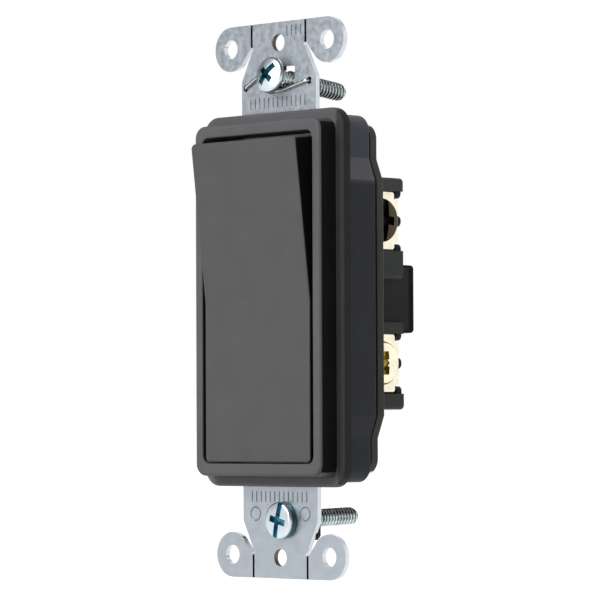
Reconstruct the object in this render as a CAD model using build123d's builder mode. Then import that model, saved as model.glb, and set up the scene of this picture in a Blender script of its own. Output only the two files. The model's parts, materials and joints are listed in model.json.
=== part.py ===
from build123d import *
import math
import os

os.makedirs("parts", exist_ok=True)

# Decorator-style three-way rocker switch on a steel mounting strap.
# +X is to the right seen from the front, +Y runs back into the wall box, +Z is up.
# The origin is the centre of the strap's front face. Sizes are in millimetres.

# ---- strap ----
STRAP_THICK = 1.0
STRAP_HALF_LENGTH = 52.3
NECK_HALF_WIDTH = 9.81
YOKE_HALF_WIDTH = 13.9
YOKE_HALF_HEIGHT = 27.8
WINDOW_HALF_WIDTH = 11.2
WINDOW_HALF_HEIGHT = 24.4
EAR_SPACING_X = 25.54
EAR_SPACING_Z = 96.08
EAR_RADIUS = 4.26
EAR_HOLE_R = 1.8
PLATE_HOLE_SPACING = 96.8
PLATE_HOLE_R = 1.65
BOX_SLOT_Z = 41.75
UPPER_SLOT_HALF = (4.4, 2.05)
LOWER_SLOT_HALF = (2.9, 2.1)
TAPER_START_Z = 41.55
NOTCH_X = 7.14
NOTCH_Z = 47.6
NOTCH_R = 0.5
SCORE_WIDTH = 0.5
SCORE_DEPTH = 0.6
STAMP_DEPTH = 0.12
STAMP_WIDTH = 0.3
STAMP_ROWS = ((-7.4, 13, 37.2), (-7.4, 13, -37.0), (2.3, 4, 50.45))
STAMP_PITCH = 1.2
STAMP_HEIGHT = 2.0
RING_MARKS = ((-6.5, -40.25), (6.6, -40.15))
RING_MARK_R = (1.4, 1.1)
CLIP_HOLES = ((-8.66, 40.34), (8.15, 40.71))
CLIP_HOLE_R = 0.68
CLIP_ENDS_X = (-8.5, 7.86)
CLIP_WIRE_R = 0.36

# ---- cover and housing, seen from the front ----
FRAME_FRONT = -6.1
FRAME_HALF = (16.64, 33.1)
OPENING_HALF = (14.6, 30.75)
FLANGE_FRONT = -1.8
FLANGE_HALF = (18.6, 35.1)
SKIRT_BACK = 8.5
SKIRT_HALF = (17.0, 15.5, 34.3)
SKIRT_WALL = 1.3
SHOULDER_LOW = 21.9
SHOULDER_HIGH = 26.1
RIM_FRONT = 9.25
RIM_BACK = 11.2
RIM_HALF = (16.6, 14.95, 32.9)
LIP_FRONT = 1.25
LIP_HALF = (15.6, 14.1, 32.8)
LIP_WALL = 1.2
BOSS_AT = (12.2, 30.8)
BOSS_R = 2.1
PILOT_R = 1.0
ASSEMBLY_SCREW_R = 0.97
ASSEMBLY_HEAD = (2.0, 0.9)
ASSEMBLY_FRONT = 3.5
PAD_SPACING = (11.0, 52.2)
PAD = (1.5, 0.9)

# ---- rear half ----
REAR_BACK = 20.0
FLOOR_FRONT = 17.6
CAVITY_HALF = (8.4, 26.5)
CORE_HALF_WIDTH = 9.75
BARRIER_HALF_WIDTH = 13.4
BARRIERS = ((20.5, 23.05), (3.85, 9.25), (-6.45, -4.1), (-20.75, -17.75))
UPPER_WELL = (9.25, 20.5)
LOWER_WELL = (-17.75, -6.45)
WELL_FRONT = 9.85
WELL_LIP_X = 15.5
TOOTH_WALL_Y = (18.4, 19.8)
TOOTH_WALL_X = 12.8
WIRE_SLOT_X = 11.6
WIRE_SLOT_HALF = 1.65
WIRE_SLOT_OFFSET = 2.67
BLOCK_HALF_WIDTH = 12.4
BLOCK_Z = (-6.2, 6.7)
BLOCK_BACK = 24.1
END_HALF_WIDTH = 10.0
END_HALF_HEIGHT = 29.6
END_BACK = 14.6

# ---- rocker ----
PIVOT_Y = 0.9
ROCKER_ANGLE = 7.0
PADDLE_HALF_WIDTH = 13.9
PADDLE_END_Z = 30.5
PADDLE_DEPTH = 4.6
PADDLE_SKIN = 1.5
PADDLE_WALL = 1.3
PIN_R = 1.0
BEARING_CLEAR = 0.05
LEG_X = (5.5, 7.3)
POST_X = (8.5, 10.6)
POST_FRONT = -0.8
TUBE_R = 3.3
TUBE_BORE_R = 2.15
TUBE_END = 10.4
PLUNGER_R = 2.05
PLUNGER_HEEL = 8.05
PLUNGER_TIP = 13.15

# ---- contacts and terminals ----
BLADE_PIVOT_Y = 15.0
BLADE_THICK = 0.8
BLADE_HALF = (3.0, 12.6)
CONTACT_Z = 10.9
MOVING_TIP = (1.5, 0.45)
FIXED_TIP = (1.6, 0.53)
ARM_FRONT = 16.8
PLATE_X = (9.8, 10.6)
PLATE_Y = (10.6, FLOOR_FRONT)
SCREW_Y = 14.1
UPPER_SCREW_Z = 14.9
LOWER_SCREW_Z = -12.0
PLATE_HALF_HEIGHT = 4.9
CLAMP_X = (11.9, 12.8)
CLAMP_Y = (10.2, 17.95)
CLAMP_HALF_HEIGHT = 5.4
TONGUE_BACK = 19.05
TONGUE_Z = (1.35, 4.0)
HEAD_BASE_X = 12.9
HEAD_R = 4.15
HEAD_THICK = 1.4
SHANK_R = 1.75
SHANK_END_X = 8.1
PASSAGES = ((1, 13.3, 16.5), (1, -12.7, -9.2), (-1, 9.2, 12.7))
THREAD_CLEAR = 0.05

# ---- mounting screws: position at the head's seat, tilt back end down, tilt back end left ----
MOUNT_SHANK_R = 1.72
MOUNT_NECK = (1.4, 4.6)
MOUNT_LENGTH = 19.8
MOUNT_HEAD = (3.45, 1.8)
NECK_CLEAR = 0.08
UPPER_SCREW_SEAT = (0.0, -1.79, 42.07)
UPPER_SCREW_TILT = (6.4, 0.0)
LOWER_SCREW_SEAT = (1.0, -0.12, -41.38)
LOWER_SCREW_TILT = (-1.35, 0.0)
UPPER_RETAINER_X = (-6.0, 0.6)
UPPER_RETAINER_Z = (38.6, 45.2)
LOWER_RETAINER_X = (-8.4, 8.84)
LOWER_RETAINER_Z = (-45.0, -37.6)
RETAINER_THICK = (0.58, 0.78)

# ---- ground terminal ----
GROUND_TAB_Z = (-41.4, -35.4)
GROUND_TAB_BACK = 9.2
GROUND_Y = 5.6
GROUND_Z = -38.4
GROUND_SCREW = (5.0, 3.5, 1.7)


def depth_plane(y):
    """Plane facing the front at depth y, with its own x to the right and y up."""
    return Plane(origin=(0, y, 0), x_dir=(1, 0, 0), z_dir=(0, -1, 0))


def side_plane(y=0, angle=0):
    """Plane across the part with its own x running back and y up, turned about +X."""
    a = math.radians(angle)
    return Plane(origin=(0, y, 0), x_dir=(0, math.cos(a), math.sin(a)), z_dir=(1, 0, 0))


def axis_plane(y, angle):
    """Plane square to the line that runs back from depth y, turned about +X."""
    a = math.radians(angle)
    return Plane(origin=(0, y, 0), x_dir=(1, 0, 0), z_dir=(0, math.cos(a), math.sin(a)))


def body_outline(y, half, radius):
    """Sketch of the body seen from the front: wide middle, bevelled shoulders, narrow ends."""
    wide, narrow, height = half
    upper_right = [(wide, SHOULDER_LOW), (narrow, SHOULDER_HIGH), (narrow, height)]
    right = [(x, -z) for x, z in reversed(upper_right)] + upper_right
    corners = right + [(-x, z) for x, z in reversed(right)]
    with BuildSketch(depth_plane(y)) as outline:
        with BuildLine():
            Polyline(*corners, close=True)
        make_face()
        ends = outline.vertices().group_by(Axis.Y)
        fillet(ends[0] + ends[-1], radius)
    return outline.sketch


def rectangle_at(plane, x_range, z_range):
    """Rectangle on a plane, given by its limits."""
    with BuildSketch(plane) as sheet:
        with Locations(((x_range[0] + x_range[1]) / 2, (z_range[0] + z_range[1]) / 2)):
            Rectangle(x_range[1] - x_range[0], z_range[1] - z_range[0])
    return sheet.sketch


def block(x_range, y_range, z_range, mode=Mode.ADD):
    """Rectangular block between six limits, added to the open part."""
    face = rectangle_at(depth_plane(y_range[0]), x_range, z_range)
    extrude(face, amount=y_range[0] - y_range[1], mode=mode)


def save(part, name):
    """Name a finished piece and write it out."""
    part.label = name
    export_step(part, "parts/" + name + ".step")


# ---------------------------------------------------------------- mounting strap
def strap_end_outline():
    """Upper end of the strap: tapered neck, plaster ears and the bar between them."""
    ear_x, ear_z = EAR_SPACING_X / 2, EAR_SPACING_Z / 2
    with BuildSketch(depth_plane(0)) as outline:
        with BuildLine():
            Polyline(
                (-NECK_HALF_WIDTH, 20),
                (-NECK_HALF_WIDTH, TAPER_START_Z),
                (-NOTCH_X + 0.35, NOTCH_Z),
                (NOTCH_X - 0.35, NOTCH_Z),
                (NECK_HALF_WIDTH, TAPER_START_Z),
                (NECK_HALF_WIDTH, 20),
                close=True,
            )
        make_face()
        with Locations((0, (NOTCH_Z + STRAP_HALF_LENGTH) / 2)):
            Rectangle(EAR_SPACING_X, STRAP_HALF_LENGTH - NOTCH_Z)
        for side in (-1, 1):
            with Locations((side * ear_x, ear_z)):
                Circle(EAR_RADIUS)
            with BuildLine():
                Polyline(
                    (side * (NOTCH_X + 0.35), NOTCH_Z + 0.1),
                    (side * 9.35, 45.55),
                    (side * ear_x, ear_z),
                    close=True,
                )
            make_face()
            with Locations((side * ear_x, ear_z)):
                Circle(EAR_HOLE_R, mode=Mode.SUBTRACT)
        with Locations((0, PLATE_HOLE_SPACING / 2)):
            Circle(PLATE_HOLE_R, mode=Mode.SUBTRACT)
        with Locations((-NOTCH_X, NOTCH_Z), (NOTCH_X, NOTCH_Z)):
            Circle(NOTCH_R, mode=Mode.SUBTRACT)
    return outline.sketch


with BuildPart() as mounting_strap:
    extrude(strap_end_outline(), amount=-STRAP_THICK)
    for side in (-1, 1):
        score_x = side * NOTCH_X
        block(
            (score_x - SCORE_WIDTH / 2, score_x + SCORE_WIDTH / 2),
            (0, SCORE_DEPTH),
            (NOTCH_Z, STRAP_HALF_LENGTH),
            Mode.SUBTRACT,
        )
    mirror(about=Plane.XY)
    block((-YOKE_HALF_WIDTH, YOKE_HALF_WIDTH), (0, STRAP_THICK), (-YOKE_HALF_HEIGHT, YOKE_HALF_HEIGHT))
    block(
        (-WINDOW_HALF_WIDTH, WINDOW_HALF_WIDTH),
        (0, STRAP_THICK),
        (-WINDOW_HALF_HEIGHT, WINDOW_HALF_HEIGHT),
        Mode.SUBTRACT,
    )
    upright = mounting_strap.edges().filter_by(Axis.Y)
    fillet(upright.filter_by(lambda e: abs(abs(e.center().X) - WINDOW_HALF_WIDTH) < 0.01), 1.0)
    # Slots for the two mounting screws and the holes for the spring wire
    with BuildSketch(depth_plane(0)):
        with Locations((0, BOX_SLOT_Z)):
            RectangleRounded(2 * UPPER_SLOT_HALF[0], 2 * UPPER_SLOT_HALF[1], 0.5)
        with Locations((0, -BOX_SLOT_Z)):
            RectangleRounded(2 * LOWER_SLOT_HALF[0], 2 * LOWER_SLOT_HALF[1], 0.5)
        with Locations(*CLIP_HOLES):
            Circle(CLIP_HOLE_R)
    extrude(amount=-STRAP_THICK, mode=Mode.SUBTRACT)
    # Stamped rows of short strokes and two stamped rings
    with BuildSketch(depth_plane(0)):
        for first_x, count, row_z in STAMP_ROWS:
            for stroke in range(count):
                with Locations((first_x + stroke * STAMP_PITCH, row_z)):
                    Rectangle(STAMP_WIDTH, STAMP_HEIGHT)
        with Locations(*RING_MARKS):
            Circle(RING_MARK_R[0])
            Circle(RING_MARK_R[1], mode=Mode.SUBTRACT)
    extrude(amount=-STAMP_DEPTH, mode=Mode.SUBTRACT)
    # Ground tab bent back from the lower neck's left edge
    block((-NECK_HALF_WIDTH, -NECK_HALF_WIDTH + STRAP_THICK), (0, GROUND_TAB_BACK), GROUND_TAB_Z)
    tab_corners = mounting_strap.edges().filter_by(Axis.X).group_by(Axis.Y)[-1]
    fillet(tab_corners, 1.2)
    with BuildSketch(Plane(origin=(-NECK_HALF_WIDTH, GROUND_Y, GROUND_Z), z_dir=(1, 0, 0))):
        Circle(SHANK_R + THREAD_CLEAR)
    extrude(amount=STRAP_THICK, mode=Mode.SUBTRACT)
save(mounting_strap.part, "mounting_strap")

# Self-grounding spring wire, hooked into both clip holes and bent round the upper screw
with BuildPart() as self_ground_clip:
    wire_y = -CLIP_WIRE_R - 0.02
    left_x, right_x = CLIP_ENDS_X
    left_z, right_z = (hole[1] for hole in CLIP_HOLES)
    with BuildLine() as wire_path:
        FilletPolyline(
            (left_x, 1.6, left_z),
            (left_x, wire_y, left_z),
            (-3.1, wire_y, 43.3),
            (-2.5, wire_y, 39.05),
            (1.6, wire_y, 39.35),
            (right_x, wire_y, right_z),
            (right_x, 1.6, right_z),
            radius=[0.6, 0.9, 0.9, 1.6, 0.6],
        )
    with BuildSketch(Plane(origin=wire_path.line @ 0, z_dir=wire_path.line % 0)):
        Circle(CLIP_WIRE_R)
    sweep()
save(self_ground_clip.part, "self_ground_clip")


# ---------------------------------------------------------------- cover and housing
with BuildPart() as front_cover:
    # Flange that the wall plate sits over
    with BuildSketch(depth_plane(FLANGE_FRONT)):
        RectangleRounded(2 * FLANGE_HALF[0], 2 * FLANGE_HALF[1], 3.6)
    extrude(amount=FLANGE_FRONT)
    fillet(front_cover.faces().sort_by(Axis.Y)[0].edges(), 0.6)
    # Raised frame round the rocker
    with BuildSketch(depth_plane(FRAME_FRONT)):
        RectangleRounded(2 * FRAME_HALF[0], 2 * FRAME_HALF[1], 2.3)
    extrude(amount=FRAME_FRONT)
    fillet(front_cover.faces().sort_by(Axis.Y)[0].edges(), 0.7)
    # Skirt behind the flange
    extrude(body_outline(0, SKIRT_HALF, 3.0), amount=-SKIRT_BACK)
    fillet(front_cover.faces().sort_by(Axis.Y)[-1].edges(), 0.35)
    skirt_inner = tuple(size - SKIRT_WALL for size in SKIRT_HALF)
    extrude(body_outline(0, skirt_inner, 1.8), amount=-SKIRT_BACK, mode=Mode.SUBTRACT)
    with BuildSketch(depth_plane(FRAME_FRONT)):
        RectangleRounded(2 * OPENING_HALF[0], 2 * OPENING_HALF[1], 1.5)
    extrude(amount=FRAME_FRONT, mode=Mode.SUBTRACT)
    fillet(front_cover.faces().sort_by(Axis.Y)[0].inner_wires()[0].edges(), 0.3)
    # Notches where the strap leaves the body
    for side in (-1, 1):
        block(
            (-NECK_HALF_WIDTH - 0.15, NECK_HALF_WIDTH + 0.15),
            (0, STRAP_THICK + 0.05),
            sorted((side * (skirt_inner[2] - 0.5), side * (SKIRT_HALF[2] + 0.5))),
            Mode.SUBTRACT,
        )
    # Bosses for the assembly screws
    with BuildSketch(depth_plane(0)):
        with GridLocations(2 * BOSS_AT[0], 2 * BOSS_AT[1], 2, 2):
            Circle(BOSS_R)
    extrude(amount=-8.0)
    with BuildSketch(depth_plane(2.0)):
        with GridLocations(2 * BOSS_AT[0], 2 * BOSS_AT[1], 2, 2):
            Circle(PILOT_R)
    extrude(amount=-6.0, mode=Mode.SUBTRACT)
save(front_cover.part, "front_cover")


def wire_slots(side, screw_z):
    """Two open-sided wire entries through the tooth wall of one terminal well."""
    with BuildSketch(depth_plane(TOOTH_WALL_Y[0] - 0.1)) as slots:
        for offset in (-WIRE_SLOT_OFFSET, WIRE_SLOT_OFFSET):
            with Locations((side * WIRE_SLOT_X, screw_z + offset)):
                Circle(WIRE_SLOT_HALF)
            with Locations((side * (WIRE_SLOT_X + 1.5), screw_z + offset)):
                Rectangle(3.0, 2 * WIRE_SLOT_HALF)
    return slots.sketch


WELLS = ((1, UPPER_WELL, UPPER_SCREW_Z), (1, LOWER_WELL, LOWER_SCREW_Z), (-1, UPPER_WELL, UPPER_SCREW_Z))


def min_gap(value, levels):
    """Distance from a value to the nearest of several levels."""
    return min(abs(value - level) for level in levels)


def is_slot_side(edge):
    """True for an edge on one side of a wire slot."""
    from_screw = min_gap(edge.center().Z, (UPPER_SCREW_Z, LOWER_SCREW_Z))
    slot_sides = (WIRE_SLOT_OFFSET - WIRE_SLOT_HALF, WIRE_SLOT_OFFSET + WIRE_SLOT_HALF)
    return min_gap(from_screw, slot_sides) < 0.01


with BuildPart() as rear_housing:
    # Rim plate, then the deep middle, the shallow ends and the centre block
    extrude(body_outline(RIM_FRONT, RIM_HALF, 3.0), amount=RIM_FRONT - RIM_BACK)
    fillet(rear_housing.faces().sort_by(Axis.Y)[-1].edges(), 0.45)
    block((-END_HALF_WIDTH, END_HALF_WIDTH), (RIM_FRONT, END_BACK), (-END_HALF_HEIGHT, END_HALF_HEIGHT))
    along_depth = rear_housing.edges().filter_by(Axis.Y)
    fillet(along_depth.filter_by(lambda e: abs(abs(e.center().Z) - END_HALF_HEIGHT) < 0.01), 1.6)
    fillet(rear_housing.faces().sort_by(Axis.Y)[-1].edges(), 0.6)
    block((-CORE_HALF_WIDTH, CORE_HALF_WIDTH), (RIM_FRONT, REAR_BACK), (BARRIERS[-1][0], BARRIERS[0][1]))
    for low, high in BARRIERS:
        block((-BARRIER_HALF_WIDTH, BARRIER_HALF_WIDTH), (RIM_FRONT, REAR_BACK), (low, high))
    # One rounded outer corner on each barrier, and softened outer back edges
    rounded_z = (BARRIERS[0][1], BARRIERS[1][0], BARRIERS[2][1], BARRIERS[3][0])
    outer = rear_housing.edges().filter_by(Axis.Y).filter_by(lambda e: abs(e.center().X) > TOOTH_WALL_X)
    outer = outer.filter_by(lambda e: e.center().Y > RIM_BACK)
    fillet(outer.filter_by(lambda e: min_gap(e.center().Z, rounded_z) < 0.01), 0.9)
    back_corners = rear_housing.edges().filter_by(Axis.Z).group_by(Axis.Y)[-1]
    fillet(back_corners.filter_by(lambda e: abs(e.center().X) > TOOTH_WALL_X), 0.35)
    for low, high in (UPPER_WELL, LOWER_WELL):
        block((-TOOTH_WALL_X, TOOTH_WALL_X), TOOTH_WALL_Y, (low, high))
    # The unused lower left well is closed by a plain panel
    block((-BLOCK_HALF_WIDTH, 0), (RIM_FRONT, REAR_BACK), LOWER_WELL)
    for side, well, screw_z in WELLS:
        block(
            sorted((side * CORE_HALF_WIDTH, side * WELL_LIP_X)),
            (WELL_FRONT, TOOTH_WALL_Y[0]),
            well,
            Mode.SUBTRACT,
        )
        extrude(wire_slots(side, screw_z), amount=-3.0, mode=Mode.SUBTRACT)
    # Rounded tips on the fingers between the wire slots
    tips = rear_housing.edges().filter_by(Axis.Y).filter_by(lambda e: e.center().Y > TOOTH_WALL_Y[0])
    tips = tips.filter_by(lambda e: abs(abs(e.center().X) - TOOTH_WALL_X) < 0.01)
    fillet(tips.filter_by(is_slot_side), 0.9)
    extrude(
        rectangle_at(depth_plane(RIM_FRONT), (-BLOCK_HALF_WIDTH, BLOCK_HALF_WIDTH), BLOCK_Z),
        amount=RIM_FRONT - BLOCK_BACK,
    )
    block_corners = rear_housing.edges().filter_by(Axis.Y)
    fillet(block_corners.filter_by(lambda e: e.center().Y > REAR_BACK), 0.7)
    fillet(rear_housing.faces().sort_by(Axis.Y)[-1].edges(), 0.7)
    # Front lip that nests inside the cover's skirt
    extrude(body_outline(LIP_FRONT, LIP_HALF, 1.7), amount=LIP_FRONT - RIM_FRONT)
    lip_inner = tuple(size - LIP_WALL for size in LIP_HALF)
    extrude(body_outline(LIP_FRONT, lip_inner, 1.0), amount=LIP_FRONT - RIM_FRONT, mode=Mode.SUBTRACT)
    with BuildSketch(depth_plane(LIP_FRONT)):
        with GridLocations(2 * BOSS_AT[0], 2 * BOSS_AT[1], 2, 2):
            Circle(BOSS_R + 0.25)
    extrude(amount=LIP_FRONT - RIM_FRONT, mode=Mode.SUBTRACT)
    # Working cavity: deep in the middle, shallow at the ends
    block(
        (-CAVITY_HALF[0], CAVITY_HALF[0]),
        (LIP_FRONT, END_BACK - 1.5),
        (-CAVITY_HALF[1], CAVITY_HALF[1]),
        Mode.SUBTRACT,
    )
    block(
        (-CAVITY_HALF[0], CAVITY_HALF[0]),
        (LIP_FRONT, FLOOR_FRONT),
        (BARRIERS[-1][0] + 1.5, BARRIERS[0][1] - 1.5),
        Mode.SUBTRACT,
    )
    # Bearing posts for the rocker's pivot pins, through the strap's window
    for side in (-1, 1):
        post = sorted((side * POST_X[0], side * POST_X[1]))
        block(post, (POST_FRONT, RIM_FRONT + 1), (-2.6, 2.6))
    along_x = rear_housing.edges().filter_by(Axis.X)
    fillet(along_x.filter_by(lambda e: e.center().Y < POST_FRONT + 0.01), 1.2)
    with BuildSketch(side_plane(PIVOT_Y)):
        Circle(PIN_R + BEARING_CLEAR)
    extrude(amount=POST_X[1] + 1, both=True, mode=Mode.SUBTRACT)
    # Passages for the terminals' arms and the terminal screws' ends
    for side, low, high in PASSAGES:
        passage = sorted((side * (CAVITY_HALF[0] - 0.5), side * (PLATE_X[1] + 0.1)))
        block(passage, (ARM_FRONT - 0.1, FLOOR_FRONT), (low, high), Mode.SUBTRACT)
    for side, well, screw_z in WELLS:
        with BuildSketch(Plane(origin=(side * 8.0, SCREW_Y, screw_z), z_dir=(side, 0, 0))):
            Circle(SHANK_R + 0.3)
        extrude(amount=2.5, mode=Mode.SUBTRACT)
    # Assembly screw holes, with shallow seats for the heads
    head_seat = RIM_BACK - ASSEMBLY_HEAD[1]
    for radius, depth in ((1.3, RIM_FRONT - 0.5), (ASSEMBLY_HEAD[0] + 0.15, head_seat)):
        with BuildSketch(depth_plane(depth)):
            with GridLocations(2 * BOSS_AT[0], 2 * BOSS_AT[1], 2, 2):
                Circle(radius)
        extrude(amount=-4.0, mode=Mode.SUBTRACT)
save(rear_housing.part, "rear_housing")

# Four self-tapping screws that hold the cover, strap and housing together
with BuildPart() as assembly_screws:
    with BuildSketch(depth_plane(ASSEMBLY_FRONT)):
        with GridLocations(2 * BOSS_AT[0], 2 * BOSS_AT[1], 2, 2):
            Circle(ASSEMBLY_SCREW_R)
    extrude(amount=ASSEMBLY_FRONT - head_seat)
    with BuildSketch(depth_plane(head_seat)):
        with GridLocations(2 * BOSS_AT[0], 2 * BOSS_AT[1], 2, 2):
            Circle(ASSEMBLY_HEAD[0])
    extrude(amount=-ASSEMBLY_HEAD[1])
    with BuildSketch(depth_plane(RIM_BACK - 0.45)):
        with GridLocations(2 * BOSS_AT[0], 2 * BOSS_AT[1], 2, 2):
            Rectangle(2.2, 0.55)
            Rectangle(0.55, 2.2)
    extrude(amount=-0.45, mode=Mode.SUBTRACT)
save(assembly_screws.part, "assembly_screws")

# Rubber pads on the strap that quieten the rocker's stops
with BuildPart() as bumper_pads:
    with BuildSketch(depth_plane(-PAD[1])):
        with GridLocations(*PAD_SPACING, 2, 2):
            Circle(PAD[0])
    extrude(amount=-PAD[1])
    fillet(bumper_pads.faces().filter_by(Axis.Y).group_by(Axis.Y)[0].edges(), 0.3)
save(bumper_pads.part, "bumper_pads")

# ---------------------------------------------------------------- rocker
half_turn = ROCKER_ANGLE / 2
kink_z = (FRAME_FRONT - PIVOT_Y) * math.tan(math.radians(half_turn))
half_length = PADDLE_END_Z + kink_z
lean = math.radians(ROCKER_ANGLE)


def paddle_profile(skin, end, plane):
    """Shallow V seen from the side, set in by skin at the face and cut short by end at each end."""
    face_y = FRAME_FRONT + skin
    length = half_length - end
    bend_z = kink_z + skin * math.tan(math.radians(half_turn))
    back = PADDLE_DEPTH - skin
    top_y = face_y - length * math.sin(lean)
    top_z = bend_z + length * math.cos(lean)
    low_z = bend_z - length
    with BuildSketch(plane) as profile:
        with BuildLine():
            Polyline(
                (face_y, low_z),
                (face_y, bend_z),
                (top_y, top_z),
                (top_y + back * math.cos(lean), top_z + back * math.sin(lean)),
                (face_y + back, bend_z + back * math.tan(math.radians(half_turn))),
                (face_y + back, low_z),
                close=True,
            )
        make_face()
    return profile.sketch


with BuildPart() as rocker_paddle:
    extrude(paddle_profile(0, 0, side_plane()), amount=PADDLE_HALF_WIDTH, both=True)
    ends = rocker_paddle.edges().filter_by(lambda e: abs(e.center().Z) > 29)
    ends = ends.filter_by(lambda e: abs(e.center().X) > PADDLE_HALF_WIDTH - 0.1)
    fillet(ends.filter_by(lambda e: abs(e.length - PADDLE_DEPTH) < 0.01), 1.0)
    face_edges = rocker_paddle.faces().filter_by(lambda f: f.normal_at(f.center()).Y < -0.9).edges()
    fillet(face_edges.filter_by(lambda e: abs(e.center().Z - kink_z) > 0.1), 0.45)
    extrude(
        paddle_profile(PADDLE_SKIN, PADDLE_WALL, side_plane()),
        amount=PADDLE_HALF_WIDTH - PADDLE_WALL,
        both=True,
        mode=Mode.SUBTRACT,
    )
    # Spring tube, cross web and the two pivot legs, on the rocker's own centre line
    rocker_axis = axis_plane(PIVOT_Y, half_turn)
    with BuildSketch(rocker_axis.offset(-6.0)):
        Circle(TUBE_R)
        Rectangle(2 * LEG_X[1], 3.0)
    extrude(amount=7.5)
    with BuildSketch(rocker_axis.offset(1.4)):
        Circle(TUBE_R)
    extrude(amount=TUBE_END - 1.4)
    for side in (-1, 1):
        with BuildSketch(rocker_axis.offset(-6.0)):
            with Locations((side * (LEG_X[0] + LEG_X[1]) / 2, 0)):
                Rectangle(LEG_X[1] - LEG_X[0], 4.6)
        extrude(amount=8.2)
    with BuildSketch(rocker_axis.offset(0.8)):
        Circle(TUBE_BORE_R)
    extrude(amount=TUBE_END, mode=Mode.SUBTRACT)
    for side in (-1, 1):
        with BuildSketch(Plane(origin=(side * (LEG_X[0] - 0.1), PIVOT_Y, 0), z_dir=(side, 0, 0))):
            Circle(PIN_R)
        extrude(amount=4.0, mode=Mode.SUBTRACT)
save(rocker_paddle.part, "rocker_paddle")

# Two steel stub pins, pressed into the rocker's legs and turning in the housing's posts
with BuildPart() as pivot_pins:
    for side in (-1, 1):
        with BuildSketch(Plane(origin=(side * (LEG_X[0] - 0.05), PIVOT_Y, 0), z_dir=(side, 0, 0))):
            Circle(PIN_R)
        extrude(amount=POST_X[1] - LEG_X[0] - 0.1)
save(pivot_pins.part, "pivot_pins")

# Brass plunger with a round nose
with BuildPart() as plunger:
    with BuildSketch(side_plane(PIVOT_Y, half_turn)):
        with BuildLine():
            Polyline((PLUNGER_HEEL, 0), (PLUNGER_HEEL, PLUNGER_R), (PLUNGER_TIP - PLUNGER_R, PLUNGER_R))
            RadiusArc((PLUNGER_TIP - PLUNGER_R, PLUNGER_R), (PLUNGER_TIP, 0), PLUNGER_R)
            Line((PLUNGER_TIP, 0), (PLUNGER_HEEL, 0))
        make_face()
    turn_axis = math.radians(half_turn)
    revolve(axis=Axis((0, PIVOT_Y, 0), (0, math.cos(turn_axis), math.sin(turn_axis))))
save(plunger.part, "plunger")

# Coil spring behind the plunger
with BuildPart() as plunger_spring:
    spring_plane = axis_plane(PIVOT_Y, half_turn).offset(1.15)
    with BuildLine():
        coil = Helix(1.05, 6.5, 1.6, center=spring_plane.origin, direction=spring_plane.z_dir)
    with BuildSketch(Plane(origin=coil @ 0, z_dir=coil % 0)):
        Circle(0.25)
    sweep(path=coil)
save(plunger_spring.part, "plunger_spring")

# ---------------------------------------------------------------- contacts
# Seesaw contact blade, drawn with its upper end closed
blade_plane = side_plane(BLADE_PIVOT_Y, -half_turn)
with BuildPart() as contact_blade:
    with BuildSketch(blade_plane):
        with Locations((-BLADE_THICK / 2, 0)):
            Rectangle(BLADE_THICK, 2 * BLADE_HALF[1])
    extrude(amount=BLADE_HALF[0], both=True)
    fillet(contact_blade.edges().filter_by(lambda e: e.length < BLADE_THICK + 0.01), 1.2)
    for side in (-1, 1):
        with BuildSketch(blade_plane.offset(side * BLADE_HALF[0])):
            with Locations((-1.6, 0)):
                Rectangle(2.4, 4.4)
        extrude(amount=-side * 0.6)
save(contact_blade.part, "contact_blade")

blade_axis = axis_plane(BLADE_PIVOT_Y, -half_turn)
with BuildPart() as moving_contact_tips:
    with BuildSketch(blade_axis):
        with Locations((0, CONTACT_Z), (0, -CONTACT_Z)):
            Circle(MOVING_TIP[0])
    extrude(amount=MOVING_TIP[1])
save(moving_contact_tips.part, "moving_contact_tips")

with BuildPart() as fixed_contact_tips:
    with BuildSketch(depth_plane(ARM_FRONT - FIXED_TIP[1])):
        with Locations((0, CONTACT_Z), (0, -CONTACT_Z)):
            Circle(FIXED_TIP[0])
    extrude(amount=-FIXED_TIP[1])
    fillet(fixed_contact_tips.faces().filter_by(Axis.Y).group_by(Axis.Y)[0].edges(), 0.2)
save(fixed_contact_tips.part, "fixed_contact_tips")


def terminal_plate(side, screw_z):
    """Upright plate of a terminal, with the screw's hole, added to the open part."""
    limits = sorted((side * PLATE_X[0], side * PLATE_X[1]))
    block(limits, PLATE_Y, (screw_z - PLATE_HALF_HEIGHT, screw_z + PLATE_HALF_HEIGHT))
    hole = Plane(origin=(side * (PLATE_X[0] - 0.5), SCREW_Y, screw_z), z_dir=(side, 0, 0))
    with BuildSketch(hole) as bore:
        Circle(SHANK_R + THREAD_CLEAR)
    extrude(bore.sketch, amount=2.0, mode=Mode.SUBTRACT)


arm_y = (ARM_FRONT, FLOOR_FRONT)
with BuildPart() as common_terminal:
    terminal_plate(1, UPPER_SCREW_Z)
    block((-3.5, 8.2), arm_y, (-2.4, 2.4))
    block((5.2, 8.2), arm_y, (-2.4, 16.4))
    block((8.2, PLATE_X[1]), arm_y, (13.4, 16.4))
    # Ridge that the blade rocks on
    ridge = BLADE_PIVOT_Y + 0.05
    with BuildSketch(side_plane()):
        with BuildLine():
            Polyline(
                (ARM_FRONT, -1.6),
                (ridge + 0.1, -0.25),
                (ridge, 0),
                (ridge + 0.1, 0.25),
                (ARM_FRONT, 1.6),
                close=True,
            )
        make_face()
    extrude(amount=2.2, both=True)
save(common_terminal.part, "common_terminal")

with BuildPart() as upper_traveler_terminal:
    terminal_plate(-1, UPPER_SCREW_Z)
    block((-PLATE_X[1], 3.2), arm_y, (9.9, 12.6))
    block((-3.2, 3.2), arm_y, (9.0, 12.8))
save(upper_traveler_terminal.part, "upper_traveler_terminal")

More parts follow.
